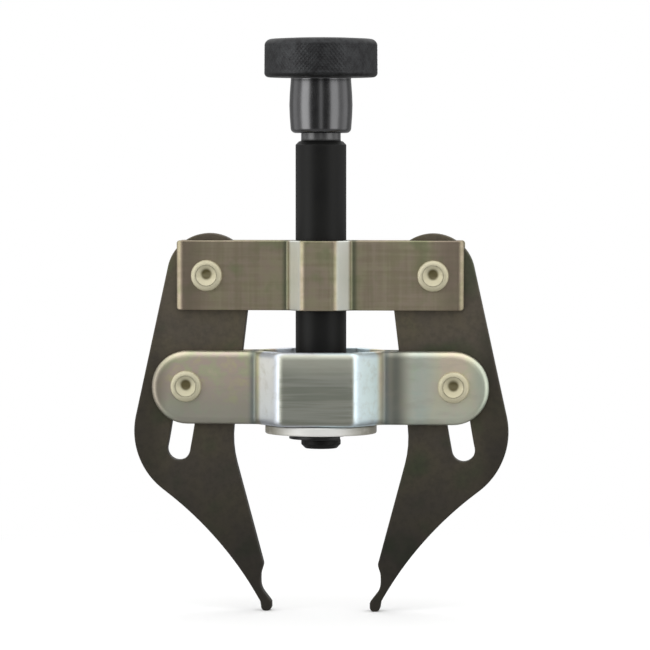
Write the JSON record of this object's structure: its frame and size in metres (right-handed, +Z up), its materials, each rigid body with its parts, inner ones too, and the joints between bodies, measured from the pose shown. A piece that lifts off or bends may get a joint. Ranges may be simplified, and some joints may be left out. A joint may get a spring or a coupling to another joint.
{
  "type": "roller chain puller",
  "caption": "Two slotted hook arms pivoted between bent steel straps, drawn together by a thumb screw with a knurled knob.",
  "frame": {"origin": "on the screw's axis, level with the tips of the two hooks, where the chain that they hold runs", "axes": "+Z up along the screw to the knob, -Y out of the front with the rolled rivet heads, +X to the right seen from the front"},
  "size_m": [0.074, 0.0226, 0.1131],
  "materials": {
    "arm_steel": "blackened, satin, bevelled edges worn",
    "upper_strap_steel": "plain rolled steel, fine brushed, lightly oiled",
    "lower_strap_zinc": "bright zinc plate, faintly yellow and blue",
    "rivet_zinc": "pale yellow zinc plate",
    "bush_steel": "plain turned steel",
    "screw_steel": "black oxide, oiled",
    "knob_steel": "black oxide, knurled rim and glossy collar",
    "block_steel": "plain machined steel",
    "washer_zinc": "bright zinc plate",
    "clip_steel": "black spring steel"
  },
  "bodies": {
    "upper_crossbar": {"upper_front_strap": "upper_strap_steel", "upper_rear_strap": "upper_strap_steel", "upper_left_rivet": "rivet_zinc", "upper_right_rivet": "rivet_zinc", "upper_left_bush": "bush_steel", "upper_right_bush": "bush_steel"},
    "lower_crossbar": {"lower_front_strap": "lower_strap_zinc", "lower_rear_strap": "lower_strap_zinc", "lower_left_rivet": "rivet_zinc", "lower_right_rivet": "rivet_zinc", "lower_left_bush": "bush_steel", "lower_right_bush": "bush_steel", "swivel_block": "block_steel", "thrust_washer": "washer_zinc"},
    "screw": {"screw": "screw_steel", "knob": "knob_steel", "retaining_clip": "clip_steel"},
    "left_arm": {"left_arm": "arm_steel"},
    "right_arm": {"right_arm": "arm_steel"}
  },
  "joints": [
    {"name": "crossbar_travel", "type": "slide", "parent": "upper_crossbar", "child": "lower_crossbar", "axis": [0, 0, -1], "range_m": [-0.0042, 0.01275]},
    {"name": "screw_turn", "type": "hinge", "parent": "lower_crossbar", "child": "screw", "pos_m": [0, 0, 0.0497], "axis": [0, 0, -1], "range_deg": [-2020, 6124]},
    {"name": "left_arm_pivot", "type": "hinge", "parent": "upper_crossbar", "child": "left_arm", "pos_m": [-0.0223, 0, 0.0664], "axis": [0, -1, 0], "range_deg": [-1, 3.01]},
    {"name": "right_arm_pivot", "type": "hinge", "parent": "upper_crossbar", "child": "right_arm", "pos_m": [0.0223, 0, 0.0664], "axis": [0, 1, 0], "range_deg": [-1, 3.01]}
  ],
  "couplings": [
    {"joint": "screw_turn", "follows": "crossbar_travel", "rad_per_m": 8377.6},
    {"joint": "left_arm_pivot", "follows": "crossbar_travel", "rad_per_m": 4.1067},
    {"joint": "right_arm_pivot", "follows": "crossbar_travel", "rad_per_m": 4.1067}
  ]
}
